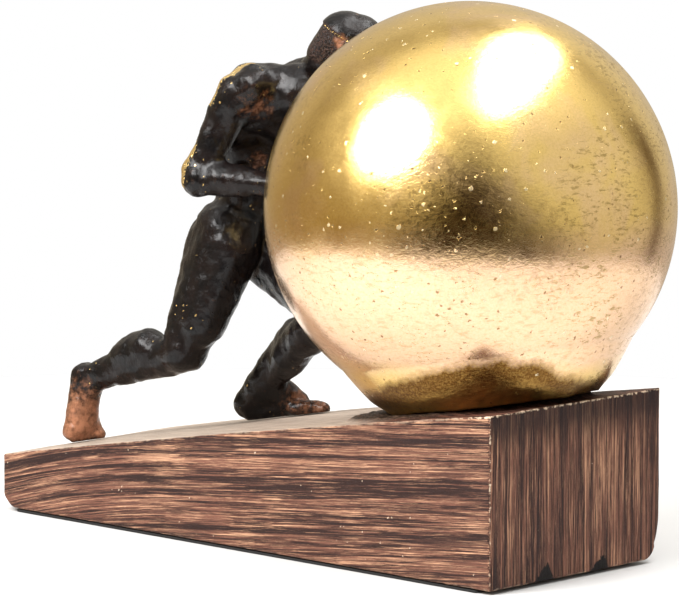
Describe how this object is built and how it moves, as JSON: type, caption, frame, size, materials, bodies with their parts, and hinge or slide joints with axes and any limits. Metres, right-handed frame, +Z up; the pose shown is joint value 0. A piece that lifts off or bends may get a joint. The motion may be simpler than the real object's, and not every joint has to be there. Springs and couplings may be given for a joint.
{
  "type": "sisyphus desk statue",
  "caption": "Desk statue of a nude man leaning into a large polished ball to push it up a long wedge ramp, standing on a thin pad.",
  "frame": {"origin": "middle of the wedge's length and width, on the underside of the pad", "axes": "+X along the wedge from its low end to its tall end, +Y towards the man's left, +Z up"},
  "size_m": [0.2181, 0.1184, 0.1613],
  "materials": {
    "base_paint": "cast resin painted dark plum brown with dry brushed tan streaks like worn wood, grey brown top",
    "pad_felt": "thin black felt",
    "ball_gold": "cast resin plated and leafed in bright gold, with small pits, flakes and scratches",
    "figure_paint": "cast resin in semi-gloss black, rubbed copper brown in hollows and on the feet, with touches of gold"
  },
  "bodies": {
    "root": {"wedge_base": "base_paint", "felt_pad": "pad_felt", "ball": "ball_gold", "figure": "figure_paint"}
  },
  "joints": []
}
